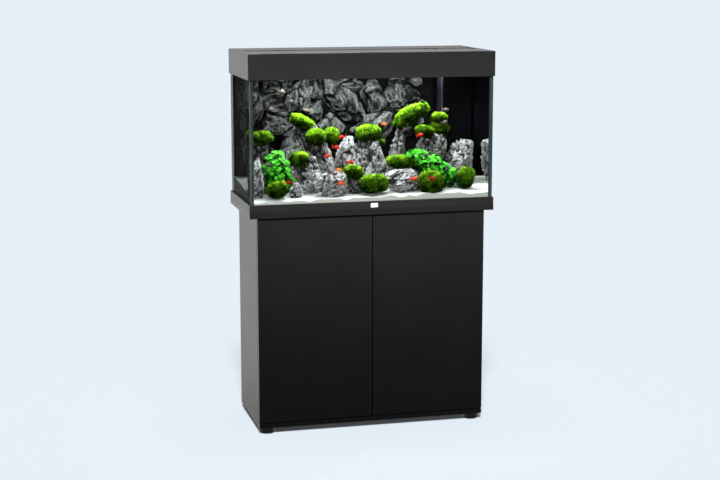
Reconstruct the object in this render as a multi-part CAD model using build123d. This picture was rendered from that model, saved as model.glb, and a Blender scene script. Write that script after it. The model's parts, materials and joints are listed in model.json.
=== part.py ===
from build123d import *
import math
import os
import random

# Driving dimensions in millimetres: +Z is up, the front faces -Y, the origin is on the floor at the middle
width = 810
depth = 360
stand_height = 730
tank_height = 500
board = 16
top_board = 18
edge_ease = 0.8

# Stand
foot_radius = 26
foot_height = 20
foot_inset = 4
spigot_radius = 5
spigot_length = 12
cabinet_half_width = 378
door_front_y = -164
cabinet_back_y = 172
door_side_gap = 2.5
door_centre_gap = 3
door_top_gap = 3
door_bottom_gap = 2
shelf_top = 376
shelf_front_y = -120
shelf_pin_radius = 2.5
shelf_pin_flat = 2
shelf_pin_length = 16
dowel_radius = 4
dowel_length = 29
hole_clearance = 0.05
cable_hole = (110, 66)
cable_hole_corner = 8
cable_hole_x = 230
cable_hole_z = 640

# Door hinges: each place is measured from the door's outer back corner, inward and backward
hinge_heights = (120, 626)
arm_pivot = (27, -2.3)
cup_pivot = (10, -3)
cup_centre = 22.5
cup_radius = 17.4
cup_depth = 11.5
cup_wall = 1.2
pivot_radius = 1.2
link_half_height = 6.3
link_eye_radius = 2.2
link_half_thickness = 0.8
cheek_inner = 7
cheek_thickness = 2.5
cup_pin_reach = 10.3

# Push latches
latch_x = 40
latch_size = (18, 66, 14)
plunger_radius = 4
plunger_length = 44
plunger_gap = 0.6

# Tank
glass = 6
bottom_glass = 8
glass_inset = 5
base_frame_height = 25
base_frame_lip = 4
glass_top = 1205
seal_leg = 5

# Hood
hood_bottom = 1149
hood_wall = 4
hood_rim = 20
ledge_width = 23
glass_seat_width = 17
scoop_spans = ((-362, -235), (-45, 45))
scoop_depth = 2.5
outlet_x = 325
outlet_size = (50, 12)
corner_radius = 2.5

# Light unit and flaps
light_y = -6
light_half_depth = 36
light_height = 32
light_wall = 2.5
light_top = 1228
flap_pin_offset = 42
flap_pin_radius = 2
flap_barrel_radius = 4
flap_hinge_x = 250
knuckle_length = 24
lug_length = 10
side_play = 0.5
flap_rib_x = (-190, 0, 190)
tube_radius = 10
tube_drop = 14
tube_spacing = 36
tube_half_length = 335
socket_radius = 13
socket_length = 30

# Corner filter
filter_x = (285, 389)
filter_y = (85, 167)
filter_top = 1188
filter_wall = 3
filter_corner = 12
basket_split = 900
basket_top = 1088
basket_right = 352
heater_place = (370, 140)
heater_radius = 11
heater_top = 1060
pump_x = (300, 366)
pump_y = (100, 150)
pump_top = 1172
outlet_height = 1145
outlet_radius = 9
impeller_radius = 13
impeller_height = 20
vane_count = 6

# Sand and rock wall
sand_profile = ((-169, 760), (-120, 768), (0, 790), (169, 806))
wall_left = -390
wall_right = 238
wall_top = 1192
wall_backing = 12

# Worked out from the sizes above
total_height = stand_height + tank_height
base_top = foot_height + board
board_top = stand_height - top_board
door_back_y = door_front_y + board
side_front_y = door_back_y + door_side_gap
back_front_y = cabinet_back_y - board
half_width = width / 2
half_depth = depth / 2
glass_half_width = half_width - glass_inset
glass_half_depth = half_depth - glass_inset
inside_half_width = glass_half_width - glass
inside_half_depth = glass_half_depth - glass
glass_floor = stand_height + base_frame_lip
inside_floor = glass_floor + bottom_glass
ledge_z = total_height - hood_wall
pin_z = total_height - flap_barrel_radius

pieces = {}


def keep(name, shape):
    pieces[name] = shape


# A box between two opposite corners
def block(x, y, z):
    middle = Pos((x[0] + x[1]) / 2, (y[0] + y[1]) / 2, (z[0] + z[1]) / 2)
    return middle * Box(x[1] - x[0], y[1] - y[0], z[1] - z[0])


# A furniture board with its edges eased
def panel(x, y, z):
    shape = block(x, y, z)
    return chamfer(shape.edges(), edge_ease)


# Round bars along each axis, from one end to the other
def bar_x(y, z, radius, x):
    return Pos((x[0] + x[1]) / 2, y, z) * Rot(0, 90, 0) * Cylinder(radius, x[1] - x[0])


def bar_y(x, z, radius, y):
    return Pos(x, (y[0] + y[1]) / 2, z) * Rot(90, 0, 0) * Cylinder(radius, y[1] - y[0])


def bar_z(x, y, radius, z):
    return Pos(x, y, (z[0] + z[1]) / 2) * Cylinder(radius, z[1] - z[0])


def flipped(shape):
    return mirror(shape, about=Plane.YZ)


# Feet: turned glides with a rounded sole and a spigot that plugs into the base board
foot_reach = foot_radius + foot_inset
foot_x = cabinet_half_width - foot_reach
foot_places = {
    "front_left_foot": (-foot_x, door_front_y + foot_reach),
    "front_right_foot": (foot_x, door_front_y + foot_reach),
    "back_left_foot": (-foot_x, cabinet_back_y - foot_reach),
    "back_right_foot": (foot_x, cabinet_back_y - foot_reach),
}


def foot(x, y):
    sole = bar_z(0, 0, foot_radius, (0, foot_height))
    sole = fillet(sole.edges().sort_by(Axis.Z)[0], 5)
    sole = chamfer(sole.edges().sort_by(Axis.Z)[-1], 1)
    return Pos(x, y, 0) * (sole + bar_z(0, 0, spigot_radius, (foot_height, foot_height + spigot_length)))


# Dowels stand in the ends of the side boards and in the top and base boards
dowel_x = cabinet_half_width - board / 2
dowel_y = (-90, 110)
dowel_base = foot_height + 4
dowel_ends = ((dowel_base, dowel_base + dowel_length), (board_top + 12 - dowel_length, board_top + 12))


def dowels(radius, play):
    bars = []
    for x in (-dowel_x, dowel_x):
        for y in dowel_y:
            for low, high in dowel_ends:
                bars.append(bar_z(x, y, radius, (low - play, high + play)))
    return bars


# Shelf pins have a flat on top that carries the shelf
pin_z_place = shelf_top - board - shelf_pin_flat
pin_depth = shelf_pin_length / 2
shelf_pin_y = (-80, 110)


def shelf_pin(side, y, radius, length):
    face = side * (cabinet_half_width - board)
    ends = sorted((face - side * pin_depth, face + side * (length - pin_depth)))
    return bar_x(y, pin_z_place, radius, ends)


def build_stand():
    side = cabinet_half_width
    drill = dowels(dowel_radius + hole_clearance, 0.5)
    base = panel((-side, side), (door_front_y, cabinet_back_y), (foot_height, base_top))
    for name, (x, y) in foot_places.items():
        keep(name, foot(x, y))
        base -= bar_z(x, y, spigot_radius + hole_clearance, (foot_height, foot_height + spigot_length + 0.5))
    keep("base_panel", base - drill)

    top = panel((-half_width, half_width), (-half_depth, half_depth), (board_top, stand_height))
    keep("top_panel", top - drill)

    for name, sign in (("left_side_panel", -1), ("right_side_panel", 1)):
        span = sorted((sign * side, sign * (side - board)))
        shape = panel(span, (side_front_y, cabinet_back_y), (base_top, board_top)) - drill
        for y in shelf_pin_y:
            shape -= shelf_pin(sign, y, shelf_pin_radius + hole_clearance, shelf_pin_length + 0.5)
        keep(name, shape)
    keep("panel_dowels", Compound(children=dowels(dowel_radius, 0)))

    inner = side - board
    back = panel((-inner, inner), (back_front_y, cabinet_back_y), (base_top, board_top))
    for x in (-cable_hole_x, cable_hole_x):
        sketch = RectangleRounded(*cable_hole, radius=cable_hole_corner)
        back -= Pos(x, cabinet_back_y, cable_hole_z) * Rot(90, 0, 0) * extrude(sketch, board, both=True)
    keep("back_panel", back)

    shelf_side = inner - 0.5
    keep("shelf", panel((-shelf_side, shelf_side), (shelf_front_y, back_front_y - 1), (shelf_top - board, shelf_top)))
    pins = []
    for sign in (-1, 1):
        for y in shelf_pin_y:
            pin = shelf_pin(sign, y, shelf_pin_radius, shelf_pin_length)
            over = block((sign * inner - 20, sign * inner + 20), (y - 5, y + 5), (shelf_top - board, shelf_top))
            proud = block(sorted((sign * inner, 0)), (y - 5, y + 5), (shelf_top - board, shelf_top))
            pins.append(pin - (over & proud))
    keep("shelf_pins", Compound(children=pins))


# The cup sits in the door; its ears hold the pivot of the link, and a notch lets the link swing out
def hinge_cup():
    well = cup_radius - cup_wall
    outer = bar_y(cup_centre, 0, cup_radius, (-cup_depth, 0))
    reach = cup_radius + 1
    flange = block((cup_centre - cup_radius, cup_centre + reach), (0, cup_wall), (-24, 24))
    flange = fillet(flange.edges().filter_by(Axis.Y), 4)
    cup = outer + flange - bar_y(cup_centre, 0, well, (cup_wall - cup_depth, cup_wall))
    ears = block((7.2, 13), (-6.2, -0.4), (cheek_inner, 14)) + block((7.2, 13), (-6.2, -0.4), (-14, -cheek_inner))
    cup += ears & outer
    cup -= block((0, 8), (-4, cup_wall), (-link_half_height - 0.6, link_half_height + 0.6))
    return cup - bar_z(*cup_pivot, pivot_radius + 0.02, (-11.5, 11.5))


# The link is a flat bar with an eye at each pivot
def hinge_link():
    start = Vector(*arm_pivot)
    end = Vector(*cup_pivot)
    middle = (start + end) / 2
    turn = math.degrees(math.atan2(end.Y - start.Y, end.X - start.X))
    bar = Pos(middle.X, middle.Y) * Rot(0, 0, turn) * Rectangle((end - start).length, 2 * link_half_thickness)
    outline = bar + Pos(*arm_pivot) * Circle(link_eye_radius) + Pos(*cup_pivot) * Circle(link_eye_radius)
    for place in (arm_pivot, cup_pivot):
        outline -= Pos(*place) * Circle(pivot_radius + hole_clearance)
    return extrude(outline, link_half_height, both=True)


# The arm is a channel on a plate that is screwed to the side board; its nose carries the fixed pivot
def hinge_arm():
    low = cheek_inner
    high = cheek_inner + cheek_thickness
    nose_y = arm_pivot[1]
    outline = Pos(*arm_pivot) * Circle(3)
    outline += Pos(arm_pivot[0], (nose_y + 16) / 2) * Rectangle(6, 16 - nose_y)
    outline += Pos(25, 38) * Rectangle(12, 48)
    outline -= Pos(*arm_pivot) * Circle(pivot_radius + 0.02)
    cheek = Pos(0, 0, low) * extrude(outline, high - low)
    arm = cheek + mirror(cheek, about=Plane.XY)
    arm += block((28.5, 31), (18, 60), (-low, low))
    plate = block((board, 19), (14, 68), (-16, 16))
    return arm + fillet(plate.edges().filter_by(Axis.X), 5)


def build_doors():
    door_half = cabinet_half_width
    left = panel(
        (-door_half, -door_centre_gap / 2),
        (door_front_y, door_back_y),
        (base_top + door_bottom_gap, board_top - door_top_gap),
    )
    seats = [Pos(-door_half, door_back_y, z) for z in hinge_heights]
    for seat in seats:
        left -= seat * bar_y(cup_centre, 0, cup_radius + hole_clearance, (-cup_depth - 0.5, 1))
    groups = {
        "hinge_cups": hinge_cup(),
        "hinge_links": hinge_link(),
        "hinge_arms": hinge_arm(),
        "cup_pins": bar_z(*cup_pivot, pivot_radius, (-cup_pin_reach, cup_pin_reach)),
        "arm_pins": bar_z(*arm_pivot, pivot_radius, (-cheek_inner - cheek_thickness, cheek_inner + cheek_thickness)),
    }
    keep("left_door", left)
    keep("right_door", flipped(left))
    for name, shape in groups.items():
        pair = [seat * shape for seat in seats]
        keep("left_" + name, Compound(children=pair))
        keep("right_" + name, Compound(children=[flipped(one) for one in pair]))


# Push latches hang under the top board; each plunger stands just behind its door
def build_latches():
    wide, long, high = latch_size
    z = board_top - high / 2
    front = door_back_y + 8
    tip = door_back_y + plunger_gap
    body = block((latch_x - wide / 2, latch_x + wide / 2), (front, front + long), (board_top - high, board_top))
    body = fillet(body.edges().filter_by(Axis.Z), 3)
    body -= bar_y(latch_x, z, plunger_radius + hole_clearance, (front, tip + plunger_length + 6))
    plunger = bar_y(latch_x, z, plunger_radius, (tip, tip + plunger_length))
    plunger = fillet(plunger.edges().sort_by(Axis.Y)[0], 2)
    keep("right_latch_body", body)
    keep("right_plunger", plunger)
    keep("left_latch_body", flipped(body))
    keep("left_plunger", flipped(plunger))


def build_tank():
    x = glass_half_width
    y = glass_half_depth
    frame = block((-half_width, half_width), (-half_depth, half_depth), (stand_height, stand_height + base_frame_height))
    frame = fillet(frame.edges().filter_by(Axis.Z), corner_radius)
    frame = chamfer(frame.edges().group_by(Axis.Z)[-1], 1)
    top = stand_height + base_frame_height
    play = 0.2
    frame -= block((-x - play, x + play), (-y - play, y + play), (glass_floor, top))
    frame -= block((16 - x, x - 16), (16 - y, y - 16), (stand_height, glass_floor))
    keep("tank_base_frame", frame)

    rise = (inside_floor, glass_top)
    keep("bottom_glass", block((-x, x), (-y, y), (glass_floor, inside_floor)))
    keep("front_glass", block((-x, x), (-y, glass - y), rise))
    keep("back_glass", block((-x, x), (y - glass, y), rise))
    keep("left_glass", block((-x, glass - x), (glass - y, y - glass), rise))
    keep("right_glass", block((x - glass, x), (glass - y, y - glass), rise))

    beads = []
    for sx in (-1, 1):
        for sy in (-1, 1):
            corner = Vector(sx * inside_half_width, sy * inside_half_depth)
            outline = Polyline(
                corner,
                corner - Vector(sx * seal_leg, 0),
                corner - Vector(0, sy * seal_leg),
                close=True,
            )
            beads.append(Pos(0, 0, inside_floor) * extrude(make_face(outline), glass_top - inside_floor, dir=(0, 0, 1)))
    keep("corner_seals", Compound(children=beads))


def build_hood():
    x = half_width - hood_wall
    y = half_depth - hood_wall
    hood = block((-half_width, half_width), (-half_depth, half_depth), (hood_bottom, total_height))
    hood = fillet(hood.edges().filter_by(Axis.Z), corner_radius)
    hood = fillet(hood.edges().group_by(Axis.Z)[-1], 2)
    hood -= block((-x, x), (-y, y), (hood_bottom, ledge_z))
    rim_x = half_width - hood_rim
    rim_y = half_depth - hood_rim
    hood -= block((-rim_x, rim_x), (-rim_y, rim_y), (ledge_z, total_height))
    for width_in, low in ((ledge_width, ledge_z - hood_wall), (glass_seat_width, glass_top)):
        ring = block((-x, x), (-y, y), (low, low + hood_wall))
        hood += ring - block((width_in - x, x - width_in), (width_in - y, y - width_in), (low, low + hood_wall))
    for start, stop in scoop_spans:
        hood -= block((start, stop), (7 - half_depth, 0 - rim_y), (total_height - scoop_depth, total_height))
    hole_z = (glass_top + hood_wall, glass_top + hood_wall + outlet_size[1])
    for middle in (-outlet_x, outlet_x):
        hood -= block((middle - outlet_size[0] / 2, middle + outlet_size[0] / 2), (y, half_depth), hole_z)
    keep("hood_frame", hood)


# One lug or knuckle: a barrel round the pin, with a web that runs to the plate or housing beside it
def barrel(y, x, web_end):
    shape = bar_x(y, pin_z, flap_barrel_radius, x)
    return shape + block(x, sorted((y, web_end)), (pin_z, total_height))


def flap(sign):
    pin_y = light_y + sign * flap_pin_offset
    near = pin_y + sign * (flap_barrel_radius + 1.5)
    far = sign * (half_depth - hood_rim - side_play)
    side = half_width - hood_rim - side_play
    plate = block((-side, side), sorted((near, far)), (ledge_z, total_height))
    for x in flap_rib_x:
        plate += block((x - 1, x + 1), sorted((near + sign * 6, far - sign * 12)), (ledge_z - 4, ledge_z))
    lugs = knuckle_length / 2 + lug_length + 2 * side_play
    bead_end = half_width - hood_wall - ledge_width - 2 * side_play
    inner_end = flap_hinge_x - lugs
    outer_end = flap_hinge_x + lugs
    for span in ((-bead_end, -outer_end), (-inner_end, inner_end), (outer_end, bead_end)):
        plate += barrel(pin_y, span, near)
    for x in (-flap_hinge_x, flap_hinge_x):
        span = (x - knuckle_length / 2, x + knuckle_length / 2)
        plate += barrel(pin_y, span, near)
        plate -= bar_x(pin_y, pin_z, flap_pin_radius + hole_clearance, (span[0] - 1, span[1] + 1))
    return plate


def build_light():
    low = light_top - light_height
    end = half_width - hood_rim - side_play
    inner = half_width - hood_wall - ledge_width - side_play
    y = (light_y - light_half_depth, light_y + light_half_depth)
    body = block((-inner, inner), y, (low, light_top))
    body = fillet(body.edges().filter_by(Axis.X).group_by(Axis.Z)[0], 8)
    body -= block(
        (light_wall - inner, inner - light_wall),
        (y[0] + light_wall, y[1] - light_wall),
        (low + light_wall, light_top - light_wall),
    )
    body += block((-end, end), y, (ledge_z, light_top)) - block((-inner, inner), y, (ledge_z, light_top))
    pins = []
    for sign in (-1, 1):
        pin_y = light_y + sign * flap_pin_offset
        wall_y = light_y + sign * light_half_depth
        for x in (-flap_hinge_x, flap_hinge_x):
            gap = knuckle_length / 2 + side_play
            for span in ((x - gap - lug_length, x - gap), (x + gap, x + gap + lug_length)):
                lug = barrel(pin_y, span, wall_y) + block(span, sorted((pin_y, wall_y)), (pin_z - 4, pin_z))
                body += lug - bar_x(pin_y, pin_z, flap_pin_radius + 0.02, (span[0] - 1, span[1] + 1))
            pins.append(bar_x(pin_y, pin_z, flap_pin_radius, (x - gap - lug_length + 1, x + gap + lug_length - 1)))
    keep("light_unit_housing", body)
    keep("flap_pins", Compound(children=pins))
    keep("front_flap", flap(-1))
    keep("rear_flap", flap(1))

    sockets = []
    tube_z = low - tube_drop
    for name, sign in (("front_light_tube", -1), ("rear_light_tube", 1)):
        tube_y = light_y + sign * tube_spacing / 2
        keep(name, bar_x(tube_y, tube_z, tube_radius, (-tube_half_length, tube_half_length)))
        for side in (-1, 1):
            mouth = side * (tube_half_length - socket_length / 2)
            ends = sorted((mouth, mouth + side * socket_length))
            socket = bar_x(tube_y, tube_z, socket_radius, ends)
            stem_x = mouth + side * socket_length * 0.7
            socket += block((stem_x - 6, stem_x + 6), (tube_y - 4, tube_y + 4), (tube_z, low))
            seat = sorted((mouth - side, side * tube_half_length))
            sockets.append(socket - bar_x(tube_y, tube_z, tube_radius + hole_clearance, seat))
    keep("tube_sockets", Compound(children=sockets))


def build_filter():
    x = filter_x
    y = filter_y
    wall = filter_wall
    shell = block(x, y, (inside_floor, filter_top))
    corner = shell.edges().filter_by(Axis.Z).sort_by(lambda edge: edge.center().X + edge.center().Y)[0]
    shell = fillet(corner, filter_corner)
    cavity = block((x[0] + wall, x[1] - wall), (y[0] + wall, y[1] - wall), (inside_floor + wall, filter_top))
    corner = cavity.edges().filter_by(Axis.Z).sort_by(lambda edge: edge.center().X + edge.center().Y)[0]
    shell -= fillet(corner, filter_corner - wall)
    pump_mid_y = sum(pump_y) / 2
    shell -= bar_x(pump_mid_y, outlet_height, outlet_radius + 0.3, (x[0] - 1, x[0] + wall + 1))
    for step in range(6):
        z = 850 + 9 * step
        shell -= block((x[0] - 1, x[0] + wall + 1), (y[0] + 22, y[1] - 16), (z, z + 4))
    keep("filter_housing", shell)

    # Two open baskets stand on each other beside the heater, each with a sponge
    inner_x = (x[0] + wall + 1, basket_right)
    inner_y = (y[0] + wall + 1, y[1] - wall - 1)
    levels = (inside_floor + wall, basket_split, basket_top)
    names = (("lower_basket", "coarse_sponge"), ("upper_basket", "fine_sponge"))
    for (basket_name, sponge_name), low, high in zip(names, levels[:-1], levels[1:]):
        basket = block(inner_x, inner_y, (low, high))
        corner = basket.edges().filter_by(Axis.Z).sort_by(lambda edge: edge.center().X + edge.center().Y)[0]
        basket = fillet(corner, filter_corner - wall)
        hollow_x = (inner_x[0] + 4, inner_x[1] - 2)
        hollow_y = (inner_y[0] + 4, inner_y[1] - 2)
        basket -= block(hollow_x, hollow_y, (low + 2, high))
        for step in range(5):
            slot_x = hollow_x[0] + 6 + 10 * step
            basket -= block((slot_x, slot_x + 4), (hollow_y[0] + 8, hollow_y[1] - 8), (low, low + 2))
        keep(basket_name, basket)
        sponge_y = (hollow_y[0] + 1, hollow_y[1] - 1)
        keep(sponge_name, block((hollow_x[0] + 1, hollow_x[1] - 1), sponge_y, (low + 2, high - 12)))

    heater = bar_z(*heater_place, heater_radius, (inside_floor + wall, heater_top))
    keep("heater", heater + bar_z(*heater_place, heater_radius + 2, (heater_top - 30, heater_top)))

    # The pump stands on the upper basket; its outlet goes through the housing's side to the nozzle
    mid_x = sum(pump_x) / 2
    pump = block(pump_x, pump_y, (basket_top, pump_top))
    pump = fillet(pump.edges().filter_by(Axis.Z), 8)
    tube_end = x[0] - 22
    pump += bar_x(pump_mid_y, outlet_height, outlet_radius, (tube_end, pump_x[0] + 4))
    chamber = (outlet_height - impeller_height / 2 - 2, outlet_height + impeller_height / 2 + 2)
    pump -= bar_z(mid_x, pump_mid_y, impeller_radius + 3, chamber)
    pump -= bar_x(pump_mid_y, outlet_height, outlet_radius - 2, (tube_end, mid_x))
    pump += bar_z(mid_x, pump_mid_y, 1.5, (chamber[0] - 1, chamber[1] + 1))
    keep("pump_body", pump)

    span = (outlet_height - impeller_height / 2, outlet_height + impeller_height / 2)
    impeller = bar_z(mid_x, pump_mid_y, 5, span)
    for step in range(vane_count):
        vane = block((4, impeller_radius), (-0.8, 0.8), span)
        impeller += Pos(mid_x, pump_mid_y) * Rot(0, 0, 360 * step / vane_count) * vane
    keep("impeller", impeller - bar_z(mid_x, pump_mid_y, 1.5 + hole_clearance, (span[0] - 1, span[1] + 1)))

    # The nozzle turns on the outlet and narrows to a flat slot
    collar = bar_x(pump_mid_y, outlet_height, outlet_radius + 2.5, (tube_end, x[0] - 5))
    plane = Plane(origin=(tube_end, pump_mid_y, outlet_height), x_dir=(0, 1, 0), z_dir=(-1, 0, 0))
    mouth = plane.offset(16)
    spout = loft([plane * Circle(outlet_radius + 2), mouth * Rectangle(20, 8)])
    spout -= loft([plane * Circle(outlet_radius - 2), mouth * Rectangle(16, 4)])
    bore = bar_x(pump_mid_y, outlet_height, outlet_radius + hole_clearance, (tube_end, x[0]))
    keep("pump_nozzle", collar - bore + spout)


# A faceted lump on the points of a divided icosahedron, roughened, tilted about Y and set in place
golden = (1 + math.sqrt(5)) / 2
corner_points = [Vector(0, a, b * golden) for a in (-1, 1) for b in (-1, 1)]
corner_points += [Vector(a, b * golden, 0) for a in (-1, 1) for b in (-1, 1)]
corner_points += [Vector(b * golden, 0, a) for a in (-1, 1) for b in (-1, 1)]


def lump_triangles():
    near = 2.1
    count = len(corner_points)
    apart = [[(a - b).length < near for b in corner_points] for a in corner_points]
    triangles = []
    for i in range(count):
        for j in range(i + 1, count):
            for k in range(j + 1, count):
                if apart[i][j] and apart[j][k] and apart[i][k]:
                    a, b, c = (corner_points[n].normalized() for n in (i, j, k))
                    ab, bc, ca = ((a + b).normalized(), (b + c).normalized(), (c + a).normalized())
                    triangles += [(a, ab, ca), (ab, b, bc), (ca, bc, c), (ab, bc, ca)]
    return triangles


triangles = lump_triangles()


def lump(place, size, tilt, rough, seed):
    draw = random.Random(seed)
    moved = {}

    def point(p):
        key = (round(p.X, 4), round(p.Y, 4), round(p.Z, 4))
        if key not in moved:
            swell = 1 + rough * draw.uniform(-1, 1)
            moved[key] = Vector(p.X * size[0], p.Y * size[1], p.Z * size[2]) * (swell / 2)
        return moved[key]

    faces = [Face(Wire.make_polygon([point(p) for p in corners], close=True)) for corners in triangles]
    return Pos(*place) * Rot(0, -tilt, 0) * Solid(Shell(faces))


def biggest(shape):
    return max(shape.solids(), key=lambda solid: solid.volume)


# Boulders of the rock wall: middle across and up, then width, height and tilt
wall_boulders = (
    ((-345, 1075), (80, 190), 4),
    ((-262, 1110), (110, 80), 20),
    ((-250, 985), (150, 100), -12),
    ((-195, 1068), (140, 95), 38),
    ((-140, 1030), (85, 85), -20),
    ((-35, 1050), (235, 100), -36),
    ((-40, 1120), (150, 80), -14),
    ((-80, 975), (90, 110), 30),
    ((55, 1070), (90, 120), 8),
    ((135, 1070), (125, 110), -24),
    ((175, 1130), (130, 70), 6),
    ((60, 960), (190, 120), 10),
    ((185, 985), (120, 130), -8),
    ((-330, 880), (130, 140), 10),
    ((-170, 880), (200, 130), -6),
)

# Stones that stand on the sand: place, size and tilt
stones = {
    "left_rocks": (
        ((-368, -95, 830), (42, 70, 170), 2),
        ((-338, -50, 860), (46, 50, 180), 6),
        ((-205, 25, 885), (100, 90, 235), -14),
        ((-184, -68, 825), (96, 80, 140), 8),
        ((-245, -120, 785), (48, 42, 66), 0),
        ((-122, -5, 850), (66, 66, 180), 8),
    ),
    "centre_rocks": (
        ((-50, 45, 855), (84, 76, 190), -10),
        ((-129, -118, 800), (122, 70, 96), 10),
        ((-50, -88, 795), (84, 60, 74), -6),
        ((16, 8, 850), (140, 96, 190), 6),
        ((116, 12, 880), (70, 66, 225), -8),
    ),
    "right_rocks": (
        ((215, 12, 870), (120, 84, 205), -16),
        ((122, -92, 800), (144, 92, 104), -14),
        ((322, 0, 845), (122, 96, 170), -12),
    ),
}

# Moss cushions on the stones and the sand, and two leafy clumps
moss_places = (
    ((-343, -58, 958), (82, 64, 54), 0),
    ((-200, 18, 1000), (92, 66, 46), -24),
    ((-163, -12, 953), (76, 66, 64), 0),
    ((-108, 16, 952), (60, 58, 68), 0),
    ((-224, -62, 887), (76, 62, 52), -4),
    ((-52, -92, 842), (76, 62, 54), 0),
    ((17, -118, 808), (110, 76, 76), 0),
    ((21, 8, 957), (92, 78, 68), 0),
    ((165, 2, 1018), (146, 78, 70), 28),
    ((268, 18, 980), (74, 64, 92), 8),
    ((202, -22, 964), (80, 58, 46), -10),
    ((128, -62, 866), (134, 64, 54), -4),
    ((206, -122, 801), (96, 80, 92), 0),
    ((330, -92, 812), (62, 64, 78), -10),
    ((-307, -126, 798), (80, 70, 66), 0),
)
clump_places = {
    "left_plant": ((-300, -62, 842), (128, 84, 160), 0),
    "right_plant": ((232, -62, 842), (205, 78, 84), -30),
}


def build_contents():
    reach = 2 * inside_half_width
    outline = Polyline(
        (-inside_half_depth, inside_floor),
        *sand_profile,
        (inside_half_depth, inside_floor),
        close=True,
    )
    sand = Plane.YZ.offset(-inside_half_width) * extrude(make_face(outline), reach, dir=(0, 0, 1))
    filter_block = block((filter_x[0] - 0.5, inside_half_width), (filter_y[0] - 0.5, inside_half_depth), (0, 2000))
    sand -= pieces["corner_seals"]
    keep("sand_bed", sand - filter_block)

    back = inside_half_depth
    wall = block((wall_left + 4, wall_right), (back - wall_backing, back), (inside_floor, wall_top))
    for number, (place, size, tilt) in enumerate(wall_boulders):
        thick = min(size) * 0.95
        wall += lump((place[0], back - wall_backing, place[1]), (size[0], thick, size[1]), tilt, 0.12, number)
    room = block((wall_left, wall_right), (0, back), (inside_floor, wall_top))
    wall = biggest((wall & room) - sand - pieces["corner_seals"])
    keep("rock_background", wall)

    taken = [sand, wall, filter_block]
    seed = 100
    for name, group in stones.items():
        solids = []
        for place, size, tilt in group:
            seed += 1
            shape = biggest(lump(place, size, tilt, 0.14, seed) - taken)
            solids.append(shape)
            taken.append(shape)
        keep(name, Compound(children=solids))
    cushions = []
    for place, size, tilt in moss_places:
        seed += 1
        shape = biggest(lump(place, size, tilt, 0.05, seed) - taken)
        cushions.append(shape)
        taken.append(shape)
    keep("moss_cushions", Compound(children=cushions))
    for name, (place, size, tilt) in clump_places.items():
        seed += 1
        shape = biggest(lump(place, size, tilt, 0.08, seed) - taken)
        keep(name, shape)
        taken.append(shape)


build_stand()
build_doors()
build_latches()
build_tank()
build_hood()
build_light()
build_filter()
build_contents()

os.makedirs("parts", exist_ok=True)
for name, shape in pieces.items():
    export_step(shape, "parts/" + name + ".step")
print(len(pieces), "pieces")
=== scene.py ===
import json
import math
import random

import bpy
import numpy as np
from mathutils import Euler, Matrix, Vector, noise


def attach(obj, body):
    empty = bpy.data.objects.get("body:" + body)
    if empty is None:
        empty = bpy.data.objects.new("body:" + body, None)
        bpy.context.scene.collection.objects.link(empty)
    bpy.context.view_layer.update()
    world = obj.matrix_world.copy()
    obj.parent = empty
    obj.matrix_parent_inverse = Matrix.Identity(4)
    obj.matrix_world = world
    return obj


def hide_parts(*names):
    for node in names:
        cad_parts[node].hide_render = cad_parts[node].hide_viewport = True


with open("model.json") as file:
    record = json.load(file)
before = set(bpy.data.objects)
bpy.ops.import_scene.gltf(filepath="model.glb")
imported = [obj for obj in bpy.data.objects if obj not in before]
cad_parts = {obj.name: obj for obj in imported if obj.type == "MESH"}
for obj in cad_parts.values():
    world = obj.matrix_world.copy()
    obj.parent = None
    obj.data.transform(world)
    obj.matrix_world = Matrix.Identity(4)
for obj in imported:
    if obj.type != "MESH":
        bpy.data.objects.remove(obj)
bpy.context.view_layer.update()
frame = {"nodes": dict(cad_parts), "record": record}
tankBody = "stand_and_tank"
perMetre = 1000  # millimetres
black = (0, 0, 0)
white = (1, 1, 1)
print("frame loaded:", len(frame["nodes"]), "nodes")


# Shader helpers
class Wire:  # one output socket; arithmetic on it adds Math nodes
    def __init__(self, look, socket):
        self.look = look
        self.socket = socket

    def maths(self, operation, a, b):
        return self.look.node("ShaderNodeMath", {"operation": operation}, {0: a, 1: b})

    def __add__(self, other):
        return self.maths("ADD", self, other)

    def __radd__(self, other):
        return self.maths("ADD", other, self)

    def __sub__(self, other):
        return self.maths("SUBTRACT", self, other)

    def __rsub__(self, other):
        return self.maths("SUBTRACT", other, self)

    def __mul__(self, other):
        return self.maths("MULTIPLY", self, other)

    def __rmul__(self, other):
        return self.maths("MULTIPLY", other, self)

    def over(self, limit):  # 1 above the limit, 0 below it
        return self.maths("GREATER_THAN", self, limit)

    def larger(self, other):
        return self.maths("MAXIMUM", self, other)


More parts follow.
